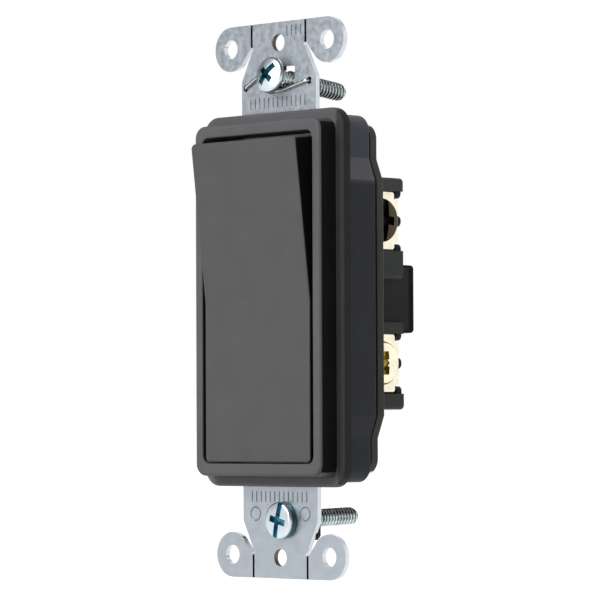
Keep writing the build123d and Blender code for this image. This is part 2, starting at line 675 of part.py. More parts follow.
with BuildPart() as lower_traveler_terminal:
    terminal_plate(1, LOWER_SCREW_Z)
    block((-3.2, PLATE_X[1]), arm_y, (-12.6, -9.3))
    block((-3.2, 3.2), arm_y, (-12.8, -9.0))
save(lower_traveler_terminal.part, "lower_traveler_terminal")


# ---------------------------------------------------------------- terminal hardware
def clamp_plate(side, screw_z):
    """Pressure plate under a terminal screw's head, with a tongue in each wire entry."""
    with BuildPart() as clamp:
        limits = sorted((side * CLAMP_X[0], side * CLAMP_X[1]))
        block(limits, CLAMP_Y, (screw_z - CLAMP_HALF_HEIGHT, screw_z + CLAMP_HALF_HEIGHT))
        fillet(clamp.edges().filter_by(Axis.X), 0.5)
        for way in (-1, 1):
            tongue_z = sorted(screw_z + way * z for z in TONGUE_Z)
            block(limits, (CLAMP_Y[1] - 0.5, TONGUE_BACK), tongue_z)
        hole = Plane(origin=(side * (CLAMP_X[0] - 0.5), SCREW_Y, screw_z), z_dir=(side, 0, 0))
        with BuildSketch(hole):
            Circle(SHANK_R + 0.1)
        extrude(amount=2.0, mode=Mode.SUBTRACT)
        # Grooves that grip the wires on each side of the screw
        for offset in (-WIRE_SLOT_OFFSET, WIRE_SLOT_OFFSET):
            groove = Plane(origin=(side * CLAMP_X[0], CLAMP_Y[0], screw_z + offset), z_dir=(0, 1, 0))
            with BuildSketch(groove):
                Circle(0.45)
            extrude(amount=TONGUE_BACK - CLAMP_Y[0], mode=Mode.SUBTRACT)
    return clamp.part


def headed_screw(plane, shank_r, length, head_r, head_thick, turn):
    """Pan head screw on a plane whose normal points out of the head, slot and cross recess."""
    with BuildPart() as screw:
        with BuildSketch(plane):
            Circle(shank_r)
        extrude(amount=-length)
        chamfer(screw.faces().sort_by(Axis(plane.origin, plane.z_dir))[0].edges(), 0.4)
        with BuildSketch(plane):
            Circle(head_r)
        extrude(amount=head_thick)
        fillet(screw.faces().sort_by(Axis(plane.origin, plane.z_dir))[-1].edges(), 0.55 * head_thick)
        with BuildSketch(plane.offset(head_thick - 0.8)):
            Rectangle(1.7 * head_r, 0.26 * head_r, rotation=turn)
            Rectangle(0.9 * head_r, 0.26 * head_r, rotation=turn + 90)
        extrude(amount=1.0, mode=Mode.SUBTRACT)
    return screw.part


TERMINALS = (
    ("common", 1, UPPER_SCREW_Z, 86),
    ("upper_traveler", -1, UPPER_SCREW_Z, 65),
    ("lower_traveler", 1, LOWER_SCREW_Z, 1),
)
for name, side, screw_z, turn in TERMINALS:
    save(clamp_plate(side, screw_z), name + "_clamp")
    seat = Plane(origin=(side * HEAD_BASE_X, SCREW_Y, screw_z), x_dir=(0, side, 0), z_dir=(side, 0, 0))
    terminal_screw = headed_screw(seat, SHANK_R, HEAD_BASE_X - SHANK_END_X, HEAD_R, HEAD_THICK, turn)
    save(terminal_screw, name + "_screw")

ground_at = (-NECK_HALF_WIDTH - 0.1, GROUND_Y, GROUND_Z)
ground_seat = Plane(origin=ground_at, x_dir=(0, -1, 0), z_dir=(-1, 0, 0))
save(headed_screw(ground_seat, SHANK_R, *GROUND_SCREW, 20), "ground_screw")


# ---------------------------------------------------------------- mounting screws
def with_neck(screw, plane):
    """Cut the unthreaded neck under a mounting screw's head."""
    with BuildPart() as necked:
        add(screw)
        with BuildSketch(plane):
            Circle(MOUNT_SHANK_R + 1)
            Circle(MOUNT_NECK[0], mode=Mode.SUBTRACT)
        extrude(amount=-MOUNT_NECK[1], mode=Mode.SUBTRACT)
    return necked.part


def seat_plane(seat, tilt):
    """Plane at a mounting screw's seat; its normal points out of the head."""
    down, left = (math.radians(angle) for angle in tilt)
    outward = (math.sin(left), -math.cos(left) * math.cos(down), math.sin(down))
    return Plane(origin=seat, x_dir=(1, 0, 0), z_dir=outward)


upper_seat = seat_plane(UPPER_SCREW_SEAT, UPPER_SCREW_TILT)
lower_seat = seat_plane(LOWER_SCREW_SEAT, LOWER_SCREW_TILT)
mounting = (MOUNT_SHANK_R, MOUNT_LENGTH, MOUNT_HEAD[0], MOUNT_HEAD[1])
save(with_neck(headed_screw(upper_seat, *mounting, 46), upper_seat), "upper_mounting_screw")
save(with_neck(headed_screw(lower_seat, *mounting, 76), lower_seat), "lower_mounting_screw")

# Fibre plates behind the strap, round the screws' necks, that keep the screws from falling out
retainer_front = STRAP_THICK + 0.02
with BuildPart() as upper_screw_retainer:
    block(UPPER_RETAINER_X, (retainer_front, retainer_front + RETAINER_THICK[0]), UPPER_RETAINER_Z)
    fillet(upper_screw_retainer.edges().filter_by(Axis.Y), 0.8)
    with BuildSketch(upper_seat.offset(2.0)):
        Circle(MOUNT_NECK[0] + NECK_CLEAR)
        with Locations((5.0, 0)):
            Rectangle(10.0, 2 * (MOUNT_NECK[0] + NECK_CLEAR))
    extrude(amount=-8.0, mode=Mode.SUBTRACT)
save(upper_screw_retainer.part, "upper_screw_retainer")

with BuildPart() as lower_screw_retainer:
    block(LOWER_RETAINER_X, (retainer_front, retainer_front + RETAINER_THICK[1]), LOWER_RETAINER_Z)
    chamfer(lower_screw_retainer.edges().filter_by(Axis.Y), 0.8)
    with BuildSketch(lower_seat.offset(2.0)):
        Circle(MOUNT_NECK[0] + NECK_CLEAR)
    extrude(amount=-8.0, mode=Mode.SUBTRACT)
save(lower_screw_retainer.part, "lower_screw_retainer")
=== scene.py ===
import json
import math
from collections import namedtuple

import bpy
from mathutils import Matrix, Vector


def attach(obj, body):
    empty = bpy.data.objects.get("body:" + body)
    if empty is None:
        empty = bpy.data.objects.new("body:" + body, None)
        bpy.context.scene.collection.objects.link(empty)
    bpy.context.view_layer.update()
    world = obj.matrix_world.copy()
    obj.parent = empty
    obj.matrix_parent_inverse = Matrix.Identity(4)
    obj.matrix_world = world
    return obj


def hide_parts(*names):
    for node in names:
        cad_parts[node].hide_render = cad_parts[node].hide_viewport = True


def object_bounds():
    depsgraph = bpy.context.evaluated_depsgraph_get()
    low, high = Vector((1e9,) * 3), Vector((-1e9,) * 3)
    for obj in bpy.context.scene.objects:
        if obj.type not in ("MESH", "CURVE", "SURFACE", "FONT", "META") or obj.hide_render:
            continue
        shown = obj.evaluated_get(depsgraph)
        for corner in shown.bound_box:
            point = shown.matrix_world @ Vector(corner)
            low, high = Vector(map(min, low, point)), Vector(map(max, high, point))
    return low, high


# Rocker wall switch in a plain studio. The tables below give finishes, screws and lights.
# Lengths are in metres; those written for a piece's faces and the screws are in millimetres.
MM = 0.001

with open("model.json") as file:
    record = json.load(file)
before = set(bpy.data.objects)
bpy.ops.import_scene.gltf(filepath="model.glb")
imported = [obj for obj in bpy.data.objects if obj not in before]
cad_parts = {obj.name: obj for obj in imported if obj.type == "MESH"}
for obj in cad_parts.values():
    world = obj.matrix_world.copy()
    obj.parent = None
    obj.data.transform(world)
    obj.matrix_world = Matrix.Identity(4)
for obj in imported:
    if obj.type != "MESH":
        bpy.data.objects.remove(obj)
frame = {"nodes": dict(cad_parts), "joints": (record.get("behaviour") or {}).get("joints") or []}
nodes = frame["nodes"]
joints = {joint["name"]: joint for joint in frame["joints"]}
cad_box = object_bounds()
bpy.context.scene.view_settings.view_transform = "Standard"


# ---------------------------------------------------------------- camera
CAMERA_AT = Vector((465.42, -465.99, -23.54)) * MM
CAMERA_TURN = (92.037, 0.239, 44.636)
CAMERA_LENS = 210.56
CAMERA_SENSOR = 36.0
CAMERA_CLIP = (0.02, 50.0)


def add_camera():
    """Long lens a little below the middle of the switch, on its front right corner."""
    data = bpy.data.cameras.new("camera")
    data.lens = CAMERA_LENS
    data.sensor_width = CAMERA_SENSOR
    data.clip_start, data.clip_end = CAMERA_CLIP
    camera = bpy.data.objects.new("camera", data)
    camera.location = CAMERA_AT
    camera.rotation_euler = [math.radians(angle) for angle in CAMERA_TURN]
    bpy.context.scene.collection.objects.link(camera)
    bpy.context.scene.camera = camera


# ---------------------------------------------------------------- shader helpers
def map_range(tree, value, start, end):
    """Socket that runs between the end levels as the value runs between the start levels."""
    node = tree.nodes.new("ShaderNodeMapRange")
    for key, level in zip(("From Min", "From Max", "To Min", "To Max"), (*start, *end)):
        node.inputs[key].default_value = level
    tree.links.new(value, node.inputs["Value"])
    return node.outputs[0]


def noise(tree, size, detail):
    """Noise on the piece's own coordinates with features of about the given size in metres."""
    place = tree.nodes.new("ShaderNodeTexCoord")
    texture = tree.nodes.new("ShaderNodeTexNoise")
    texture.inputs["Scale"].default_value = 1.0 / size
    texture.inputs["Detail"].default_value = detail
    tree.links.new(place.outputs["Object"], texture.inputs["Vector"])
    return texture.outputs["Fac"]


# ---------------------------------------------------------------- stage
# Place, side of the square and power in watts; both lights face the origin
LIGHTS = {
    "key": ((-0.1, -0.9, 0.6), 0.6, 12.0),
    "low": ((-0.1, -1.0, -0.02), 0.3, 2.0),
}
# World strength against the direction's Y, 0 for straight ahead of the switch and 1 for behind it
WORLD_STOPS = ((0.0, 0.32), (0.30, 0.20), (0.50, 0.07), (0.76, 0.08), (0.85, 1.2), (1.0, 1.3))
# The curve node holds levels up to 1, so it carries the strength divided by this
WORLD_SCALE = 2.0
# The world dims between these heights, down to this share of its strength
WORLD_DIM_HEIGHTS = (0.55, 0.9)
WORLD_DIM_LEVEL = 0.25

FLOOR_GAP = 0.0002
FLOOR_REACH = 12.0
FLOOR_GREY = 0.35
FLOOR_GLOW = 1.0
FLOOR_GLOW_ON_MATT = 0.05


def add_light(name, place, side, power):
    """Square soft light at a place, hidden from the camera."""
    data = bpy.data.lights.new(name, "AREA")
    data.size = side
    data.energy = power
    light = bpy.data.objects.new(name, data)
    light.location = place
    light.rotation_euler = (-Vector(place)).to_track_quat("-Z", "Y").to_euler()
    light.visible_camera = False
    bpy.context.scene.collection.objects.link(light)


def add_world():
    """White seen directly, with dim light on the switch and a low bright band behind it."""
    world = bpy.data.worlds.new("studio")
    bpy.context.scene.world = world
    world.use_nodes = True
    tree = world.node_tree
    direction = tree.nodes.new("ShaderNodeTexCoord")
    split = tree.nodes.new("ShaderNodeSeparateXYZ")
    tree.links.new(direction.outputs["Generated"], split.inputs[0])
    curve = tree.nodes.new("ShaderNodeFloatCurve")
    points = curve.mapping.curves[0].points
    for place, level in WORLD_STOPS[1:-1]:
        points.new(place, level / WORLD_SCALE)
    for point, (place, level) in zip(points, WORLD_STOPS):
        point.location = (place, level / WORLD_SCALE)
        point.handle_type = "VECTOR"
    curve.mapping.update()
    depth = map_range(tree, split.outputs["Y"], (-1.0, 1.0), (0.0, 1.0))
    tree.links.new(depth, curve.inputs["Value"])
    dim = map_range(tree, split.outputs["Z"], WORLD_DIM_HEIGHTS, (1.0, WORLD_DIM_LEVEL))
    strength = tree.nodes.new("ShaderNodeMath")
    strength.operation = "MULTIPLY"
    tree.links.new(curve.outputs[0], strength.inputs[0])
    tree.links.new(dim, strength.inputs[1])
    back = tree.nodes["Background"]
    back.inputs["Color"].default_value = (WORLD_SCALE, WORLD_SCALE, WORLD_SCALE, 1)
    tree.links.new(strength.outputs[0], back.inputs["Strength"])
    white = tree.nodes.new("ShaderNodeBackground")
    white.inputs["Color"].default_value = (1, 1, 1, 1)
    path = tree.nodes.new("ShaderNodeLightPath")
    mix = tree.nodes.new("ShaderNodeMixShader")
    tree.links.new(path.outputs["Is Camera Ray"], mix.inputs["Fac"])
    tree.links.new(back.outputs[0], mix.inputs[1])
    tree.links.new(white.outputs[0], mix.inputs[2])
    tree.links.new(mix.outputs[0], tree.nodes["World Output"].inputs["Surface"])


def add_floor():
    """Large pale floor under the strap's end, with little glow on matt surfaces."""
    low = cad_box[0].z - FLOOR_GAP
    mesh = bpy.data.meshes.new("floor")
    ends = ((-1, -1), (1, -1), (1, 1), (-1, 1))
    mesh.from_pydata([(x * FLOOR_REACH, y * FLOOR_REACH, low) for x, y in ends], [], [(0, 1, 2, 3)])
    floor = bpy.data.objects.new("floor", mesh)
    bpy.context.scene.collection.objects.link(floor)
    mat, tree, shader = base_material("floor_white")
    shader.inputs["Roughness"].default_value = 0.9
    shader.inputs["Base Color"].default_value = (FLOOR_GREY, FLOOR_GREY, FLOOR_GREY, 1)
    shader.inputs["Specular IOR Level"].default_value = 0.0
    shader.inputs["Emission Color"].default_value = (1, 1, 1, 1)
    path = tree.nodes.new("ShaderNodeLightPath")
    glow = map_range(tree, path.outputs["Is Diffuse Ray"], (0.0, 1.0), (FLOOR_GLOW, FLOOR_GLOW_ON_MATT))
    tree.links.new(glow, shader.inputs["Emission Strength"])
    mesh.materials.append(mat)


# ---------------------------------------------------------------- materials
# Size and height of each grain
COVER_GRAIN = (0.35 * MM, 0.012 * MM)
HOUSING_GRAIN = (0.3 * MM, 0.008 * MM)
RUBBER_GRAIN = (0.3 * MM, 0.01 * MM)
FIBRE_GRAIN = (0.2 * MM, 0.008 * MM)
STRAP_GRAIN = (0.2 * MM, 0.004 * MM)
TAPPED_GRAIN = (0.3 * MM, 0.03 * MM)
METAL_GRAIN = (0.4 * MM, 0.004 * MM)

# Colour, roughness, grain, gloss
PLASTICS = {
    "cover_plastic": ((0.096, 0.096, 0.100), 0.55, COVER_GRAIN, 0.22),
    # Flange: painted shadow of the raised frame on its right strip and painted light on its bottom
    # strip, both made by the fades below
    "cover_flange_painted_light_and_shade": ((0.096, 0.096, 0.100), 0.55, COVER_GRAIN, 0.1),
    # Skirt's bevel: lighter copy of the cover plastic, painted light where the light falls on it
    "cover_bevel_painted_light": ((0.205, 0.208, 0.228), 0.5, COVER_GRAIN, 0.15),
    # Skirt sides: darker bluish copy of the cover plastic, painted shade on the sides away from the
    # light, with painted light on the upper end through the fades below
    "cover_skirt_painted_light_and_shade": ((0.046, 0.048, 0.058), 0.5, COVER_GRAIN, 0.12),
    # Raised frame's sides: near black, painted shade
    "cover_side_painted_shade": ((0.022, 0.022, 0.022), 0.7, COVER_GRAIN, 0.0),
    "paddle_plastic": ((0.080, 0.080, 0.083), 0.55, COVER_GRAIN, 0.22),
    # Paddle's sides: near black, painted shade
    "paddle_side_painted_shade": ((0.012, 0.012, 0.013), 0.7, COVER_GRAIN, 0.0),
    # The housing plastic gets painted light toward its top through the fades below
    "housing_plastic": ((0.068, 0.076, 0.069), 0.5, HOUSING_GRAIN, 0.14),
    "block_plastic": ((0.048, 0.052, 0.049), 0.5, HOUSING_GRAIN, 0.05),
    # Block's sides: the block plastic with painted shade darkening toward the back, through the fades
    # below
    "block_side_painted_shade": ((0.048, 0.052, 0.049), 0.5, HOUSING_GRAIN, 0.05),
    # Block's slanted edges: near black, painted shade
    "block_edge_painted_shade": ((0.008, 0.009, 0.007), 0.6, HOUSING_GRAIN, 0.05),
    "rubber_pad": ((0.03, 0.03, 0.03), 0.7, RUBBER_GRAIN, 0.22),
    "fibre": ((0.014, 0.014, 0.014), 0.6, FIBRE_GRAIN, 0.22),
}
# Colour, roughness, shift of the colour, grain
METALS = {
    "galvanised_strap": ((0.435, 0.475, 0.52), 0.40, 0.05, STRAP_GRAIN),
    # Strap's cut edges: glossier, and lighter as a painted highlight
    "strap_edge_painted_highlight": ((0.60, 0.63, 0.68), 0.16, 0.05, STRAP_GRAIN),
    # Clip holes and score lines: near black, painted shade
    "strap_groove_painted_shade": ((0.03, 0.03, 0.032), 0.5, 0.06, METAL_GRAIN),
    # Floors of the stamped marks: darker, painted shade
    "strap_stamp_painted_shade": ((0.22, 0.25, 0.25), 0.5, 0.15, METAL_GRAIN),
    "strap_thread": ((0.12, 0.11, 0.08), 0.4, 0.3, TAPPED_GRAIN),
    "spring_steel": ((0.55, 0.54, 0.52), 0.28, 0.06, METAL_GRAIN),
    "zinc_steel": ((0.62, 0.68, 0.71), 0.36, 0.08, METAL_GRAIN),
    # Side of the zinc heads: dark blue, painted shade over the zinc's blue tint
    "zinc_side_painted_shade": ((0.08, 0.15, 0.17), 0.3, 0.3, METAL_GRAIN),
    # Inside the zinc recesses: dark blue, painted shade over the zinc's blue tint
    "zinc_recess_painted_shade": ((0.05, 0.20, 0.27), 0.25, 0.5, METAL_GRAIN),
    "zinc_thread": ((0.62, 0.70, 0.70), 0.25, 0.15, METAL_GRAIN),
    # Thread roots: dark, painted shade in the thread's grooves
    "zinc_root_painted_shade": ((0.15, 0.19, 0.18), 0.35, 0.3, METAL_GRAIN),
    "pin_steel": ((0.6, 0.6, 0.62), 0.25, 0.06, METAL_GRAIN),
    "brass": ((0.78, 0.6, 0.3), 0.3, 0.06, METAL_GRAIN),
    "clamp_brass": ((0.90, 0.84, 0.66), 0.25, 0.06, METAL_GRAIN),
    "screw_brass": ((0.88, 0.82, 0.62), 0.22, 0.06, METAL_GRAIN),
    # Brass recesses, thread roots and head sides: dark olive, painted shade
    "brass_recess_painted_shade": ((0.32, 0.22, 0.04), 0.3, 0.3, METAL_GRAIN),
    "black_oxide": ((0.05, 0.038, 0.022), 0.3, 0.06, METAL_GRAIN),
    # Black oxide recesses, thread roots and head sides: near black, painted shade
    "oxide_recess_painted_shade": ((0.006, 0.005, 0.004), 0.5, 0.06, METAL_GRAIN),
    "green_screw": ((0.05, 0.3, 0.12), 0.3, 0.06, METAL_GRAIN),
    # Green recesses and thread roots: darker green, painted shade
    "green_recess_painted_shade": ((0.02, 0.12, 0.05), 0.35, 0.06, METAL_GRAIN),
    "silver_contact": ((0.85, 0.85, 0.83), 0.2, 0.06, METAL_GRAIN),
}
# Painted light and shade: finish, axis, the two places in mm and the level that the colour reaches at
# the second
LIGHT_AND_SHADE_FADES = (
    # Painted shade, darkening the block's sides toward the back
    ("block_side_painted_shade", "Y", 21.9, 22.8, 0.1),
    # Painted shadow of the raised frame, darkening the flange's right strip
    ("cover_flange_painted_light_and_shade", "X", 16.5, 17.0, 0.36),
    # Painted light, brightening the flange's bottom strip
    ("cover_flange_painted_light_and_shade", "Z", -33.0, -33.5, 1.7),
    # Painted light, brightening the skirt's upper end
    ("cover_skirt_painted_light_and_shade", "Z", 21.0, 22.0, 2.6),
    # Painted light, brightening the housing toward its top
    ("housing_plastic", "Z", 10.0, 24.0, 1.4),
)
PLASTIC_SHIFT = 0.05
# Size and detail of the clouds of colour and of the patches of gloss
PLASTIC_CLOUD = (6 * MM, 3.0)
PLASTIC_PATCH = (3 * MM, 2.0)
METAL_CLOUD = (2.5 * MM, 4.0)
METAL_PATCH = (1.2 * MM, 3.0)
GRAIN_DETAIL = 2.0
# Noise levels between which the colour and the roughness change
COLOUR_STOPS = (0.35, 0.65)
ROUGH_STOPS = (0.3, 0.7)


def base_material(name):
    """New node material; returns it with its tree and its shader."""
    mat = bpy.data.materials.new(name)
    mat.use_nodes = True
    tree = mat.node_tree
    return mat, tree, tree.nodes["Principled BSDF"]


def add_surface(tree, shader, colour, shift, cloud, patch, roughness, grain):
    """Cloudy colour, patchy roughness between two limits, and grained relief on a shader."""
    ramp = tree.nodes.new("ShaderNodeValToRGB")
    for stop, place, side in zip(ramp.color_ramp.elements, COLOUR_STOPS, (-1, 1)):
        stop.position = place
        stop.color = (*(c * (1 + side * shift) for c in colour), 1)
    tree.links.new(noise(tree, *cloud), ramp.inputs["Fac"])
    tree.links.new(ramp.outputs["Color"], shader.inputs["Base Color"])
    rough = map_range(tree, noise(tree, *patch), ROUGH_STOPS, roughness)
    tree.links.new(rough, shader.inputs["Roughness"])
    size, height = grain
    relief = tree.nodes.new("ShaderNodeBump")
    relief.inputs["Distance"].default_value = height
    tree.links.new(noise(tree, size, GRAIN_DETAIL), relief.inputs["Height"])
    tree.links.new(relief.outputs[0], shader.inputs["Normal"])


def plastic(name, colour, roughness, grain, gloss):
    """Moulded plastic with a fine grained skin and faint cloudy shading."""
    mat, tree, shader = base_material(name)
    limits = (roughness - 0.05, roughness + 0.05)
    add_surface(tree, shader, colour, PLASTIC_SHIFT, PLASTIC_CLOUD, PLASTIC_PATCH, limits, grain)
    shader.inputs["Specular IOR Level"].default_value = gloss
    return mat


def metal(name, colour, roughness, shift, grain):
    """Metal with small shifts of colour and gloss and a fine worked surface."""
    mat, tree, shader = base_material(name)
    limits = (roughness - 0.06, roughness + 0.08)
    add_surface(tree, shader, colour, shift, METAL_CLOUD, METAL_PATCH, limits, grain)
    shader.inputs["Metallic"].default_value = 1.0
    return mat


def paint_light_and_shade_along(mat, axis, start, end, level):
    """Painted light and shade: scale a finish's colour to another level between two places along one
    axis of the piece.
    """
    tree = mat.node_tree
    colour = tree.nodes["Principled BSDF"].inputs["Base Color"]
    plain = colour.links[0].from_socket
    place = tree.nodes.new("ShaderNodeTexCoord")
    split = tree.nodes.new("ShaderNodeSeparateXYZ")
    tree.links.new(place.outputs["Object"], split.inputs[0])
    fade = map_range(tree, split.outputs[axis], (start, end), (1.0, level))
    scaled = tree.nodes.new("ShaderNodeVectorMath")
    scaled.operation = "SCALE"
    tree.links.new(plain, scaled.inputs[0])
    tree.links.new(fade, scaled.inputs["Scale"])
    tree.links.new(scaled.outputs[0], colour)


materials = {name: plastic(name, *values) for name, values in PLASTICS.items()}
materials.update({name: metal(name, *values) for name, values in METALS.items()})
# Paint light and shade into the finishes listed above
for finish, axis, start, end, level in LIGHT_AND_SHADE_FADES:
    paint_light_and_shade_along(materials[finish], axis, start * MM, end * MM, level)


# ---------------------------------------------------------------- finishes of the CAD pieces
SLOT_OF = {
    "mounting_strap": "galvanised_strap",
    "self_ground_clip": "spring_steel",
    "front_cover": "cover_plastic",
    "rear_housing": "housing_plastic",
    "assembly_screws": "zinc_steel",
    "bumper_pads": "rubber_pad",
    "rocker_paddle": "paddle_plastic",
    "pivot_pins": "pin_steel",
    "plunger": "brass",
    "plunger_spring": "spring_steel",
    "contact_blade": "brass",
    "moving_contact_tips": "silver_contact",
    "fixed_contact_tips": "silver_contact",
    "common_terminal": "brass",
    "upper_traveler_terminal": "brass",
    "lower_traveler_terminal": "brass",
    "common_clamp": "clamp_brass",
    "upper_traveler_clamp": "clamp_brass",
    "lower_traveler_clamp": "clamp_brass",
    "common_screw": "black_oxide",
    "upper_traveler_screw": "screw_brass",
    "lower_traveler_screw": "screw_brass",
    "ground_screw": "green_screw",
    "upper_mounting_screw": "zinc_steel",
    "lower_mounting_screw": "zinc_steel",
    "upper_screw_retainer": "fibre",
    "lower_screw_retainer": "fibre",
}

# Limits in mm that tell a piece's faces apart, a little wider than the features
SCORE_X = 7.14
SCORE_REACH = 0.3
SCORE_START_Z = 47.6
SCORE_Y = (0.01, 0.7)
STAMP_Y = (0.01, 0.13)
STRAP_BACK = 1.02
PLATE_HOLE_Z = 48.4
PLATE_HOLE_REACH = 1.7
CLIP_HOLES = ((-8.66, 40.34), (8.15, 40.71))
CLIP_HOLE_REACH = 0.8
FRAME_SIDE_Y = (-5.6, -1.0)
FRAME_SIDE_X = 17
FLANGE_Y = (-1.9, 0.05)
FLANGE_INNER = (16.7, 33.2)
BEVEL_Z = (21.9, 26.1)
PADDLE_SIDE_X = 13
FINGER_Y = (18.35, 19.85)
FINGER_X = 11.0
BLOCK_FRONT = 20.05
BLOCK_SIDE_X = 12.4
BLOCK_SIDE_REACH = 0.02
BLOCK_SIDE_Z = (-6.3, 6.8)


def within(value, limits):
    return limits[0] < value < limits[1]


def faces_sideways(normal):
    """True for a face square, or nearly square, to the front."""
    return abs(normal.y) < 0.3


def on_strap_edge(place, normal):
    return faces_sideways(normal) and place.y < STRAP_BACK


def in_clip_hole(place, normal):
    near = min(math.hypot(place.x - x, place.z - z) for x, z in CLIP_HOLES)
    return near < CLIP_HOLE_REACH and faces_sideways(normal)


def in_score(place, normal):
    across = abs(abs(place.x) - SCORE_X) < SCORE_REACH
    return across and abs(place.z) > SCORE_START_Z and within(place.y, SCORE_Y)


def in_stamp(place, normal):
    return within(place.y, STAMP_Y) and normal.y < -0.9


def in_plate_hole(place, normal):
    near = math.hypot(place.x, abs(place.z) - PLATE_HOLE_Z)
    return near < PLATE_HOLE_REACH and faces_sideways(normal)


def on_frame_side(place, normal):
    return abs(normal.x) > 0.8 and within(place.y, FRAME_SIDE_Y) and abs(place.x) < FRAME_SIDE_X


def on_flange(place, normal):
    outside = abs(place.x) > FLANGE_INNER[0] or abs(place.z) > FLANGE_INNER[1]
    return outside and within(place.y, FLANGE_Y)


def on_skirt(place, normal):
    return place.y > FLANGE_Y[1] and abs(normal.x) > 0.3


def on_bevel(place, normal):
    return on_skirt(place, normal) and abs(normal.z) > 0.2 and within(place.z, BEVEL_Z)


def on_paddle_side(place, normal):
    return abs(normal.x) > 0.8 and abs(place.x) > PADDLE_SIDE_X


def on_block(place, normal):
    return place.y > BLOCK_FRONT


def on_finger(place, normal):
    return within(place.y, FINGER_Y) and abs(place.x) > FINGER_X


def on_block_edge(place, normal):
    return place.y > BLOCK_FRONT and 0.1 < abs(normal.x) < 0.97


def on_block_side(place, normal):
    on_plane = abs(abs(place.x) - BLOCK_SIDE_X) < BLOCK_SIDE_REACH
    return on_plane and abs(normal.x) > 0.99 and within(place.z, BLOCK_SIDE_Z)


# Later rows win where two tests pass
PART_FINISHES = (
    # Painted highlight on the strap's cut edges
    ("mounting_strap", "strap_edge_painted_highlight", on_strap_edge),
    # Painted shade in the clip holes and score lines
    ("mounting_strap", "strap_groove_painted_shade", in_clip_hole),
    ("mounting_strap", "strap_groove_painted_shade", in_score),
    # Painted shade on the floors of the stamped marks
    ("mounting_strap", "strap_stamp_painted_shade", in_stamp),
    ("mounting_strap", "strap_thread", in_plate_hole),
    # Painted shade on the raised frame's sides
    ("front_cover", "cover_side_painted_shade", on_frame_side),
    # Flange faces, with painted shadow on the right and painted light at the bottom
    ("front_cover", "cover_flange_painted_light_and_shade", on_flange),
    # Painted shade on the skirt's sides
    ("front_cover", "cover_skirt_painted_light_and_shade", on_skirt),
    # Painted light on the skirt's bevel
    ("front_cover", "cover_bevel_painted_light", on_bevel),
    # Painted shade on the paddle's sides
    ("rocker_paddle", "paddle_side_painted_shade", on_paddle_side),
    ("rear_housing", "block_plastic", on_block),
    ("rear_housing", "block_plastic", on_finger),
    # Painted shade on the block's slanted edges
    ("rear_housing", "block_edge_painted_shade", on_block_edge),
    # Painted shade on the block's sides
    ("rear_housing", "block_side_painted_shade", on_block_side),
)


def finish_node(name, mat):
    """Give a CAD node one material all over."""
    mesh = nodes[name].data
    mesh.materials.clear()
    mesh.materials.append(mat)


def finish_where(name, mat, test):
    """Give the faces whose centre and normal pass the test another material."""
    mesh = nodes[name].data
    mesh.materials.append(mat)
    for face in mesh.polygons:
        if test(face.center / MM, face.normal):
            face.material_index = len(mesh.materials) - 1


for node_name, slot_name in SLOT_OF.items():
    finish_node(node_name, materials[slot_name])
for node_name, finish, test in PART_FINISHES:
    finish_where(node_name, materials[finish], test)


# ---------------------------------------------------------------- screws
# All in mm, standing on the seat under the head: radii of the neck and of the thread's crest,
# neck length, depth of the tip, head radius, thickness, height of the head's straight side,
# rise of its crown, and the height up to which the side's finish goes; where that finish is darker than
# the head it is painted shade
Shape = namedtuple("Shape", "neck_crest crest neck tip head_r thick side crown rim")
# Slot, the bar across it and the square in the middle, in mm, with the turn in degrees
Recess = namedtuple("Recess", "length width depth arm_length arm_width middle turn")

UPPER_MOUNTING = Shape(1.4, 1.72, 4.6, -19.8, 3.45, 1.8, 0.35, 0.75, 0.3)
LOWER_MOUNTING = Shape(1.4, 1.72, 4.6, -19.8, 3.45, 1.8, 1.15, 0.12, 1.15)
TERMINAL = Shape(1.75, 1.75, 1.0, -4.8, 4.15, 1.4, 0.25, 0.35, 0.95)
GROUND = Shape(1.75, 1.75, 1.0, -5.0, 3.5, 1.7, 0.9, 0.2, 0.9)

# Finishes of the head, thread, thread's root, head's side, slot and cross recess; the darker root,
# side, slot and recess finishes are painted shade
ZINC = ("zinc_steel", "zinc_thread", "zinc_root_painted_shade", "zinc_side_painted_shade", "zinc_recess_painted_shade", "zinc_recess_painted_shade")
BRASS = ("screw_brass", "screw_brass", "brass_recess_painted_shade", "brass_recess_painted_shade", "screw_brass", "brass_recess_painted_shade")
OXIDE = ("black_oxide", "black_oxide", "oxide_recess_painted_shade", "oxide_recess_painted_shade", "oxide_recess_painted_shade", "oxide_recess_painted_shade")
GREEN = ("green_screw", "green_screw", "green_recess_painted_shade", "green_screw", "green_recess_painted_shade", "green_recess_painted_shade")

SCREWS = {
    "upper_mounting_screw": (UPPER_MOUNTING, Recess(4.8, 1.2, 0.9, 3.4, 1.1, 1.7, 46), ZINC),
    "lower_mounting_screw": (LOWER_MOUNTING, Recess(8.0, 1.1, 0.8, 4.0, 1.2, 1.7, 76), ZINC),
    "common_screw": (TERMINAL, Recess(9.0, 1.8, 0.7, 5.0, 1.6, 2.6, 86), OXIDE),
    "lower_traveler_screw": (TERMINAL, Recess(9.0, 1.3, 0.55, 4.4, 1.7, 2.1, 1), BRASS),
    "upper_traveler_screw": (TERMINAL, Recess(9.0, 1.3, 0.55, 4.4, 1.7, 2.1, 65), BRASS),
    "ground_screw": (GROUND, Recess(8.0, 1.1, 0.8, 3.2, 1.1, 1.5, 20), GREEN),
}

PITCH = 0.79375
THREAD_DEPTH = 0.36
